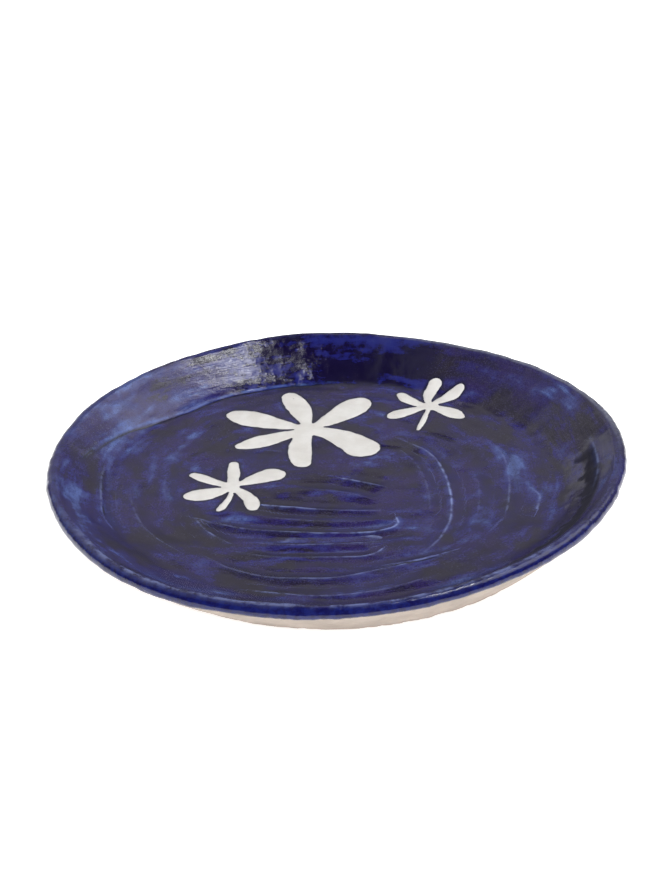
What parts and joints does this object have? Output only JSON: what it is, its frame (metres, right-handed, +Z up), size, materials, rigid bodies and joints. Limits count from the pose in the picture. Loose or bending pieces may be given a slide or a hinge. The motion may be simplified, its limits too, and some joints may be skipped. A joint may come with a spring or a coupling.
{
  "type": "decorative plate",
  "caption": "Hand painted ceramic plate: shallow round earthenware dish on a foot ring, with a cobalt blue glazed face and white six-petalled flowers.",
  "frame": {"origin": "middle of the outline, on the surface that the plate stands on", "axes": "+Z up, square to that surface; +X towards the slightly higher side of the lip; the large flower lies towards +Y"},
  "size_m": [0.3034, 0.3047, 0.0322],
  "materials": {
    "bare_clay": "matt, unglazed cream earthenware with hand scraping marks",
    "foot_clay": "matt, unglazed, slightly worn where it stands",
    "cobalt_glaze": "glossy cobalt glaze, brushed on in streaks, lighter where it breaks over ridges",
    "white_enamel": "satin white enamel with small dark specks"
  },
  "bodies": {
    "root": {"clay_body": "bare_clay", "foot_ring": "foot_clay", "cobalt_glaze": "cobalt_glaze", "flower_large": "white_enamel", "flower_small_left": "white_enamel", "flower_small_right": "white_enamel"}
  },
  "joints": []
}
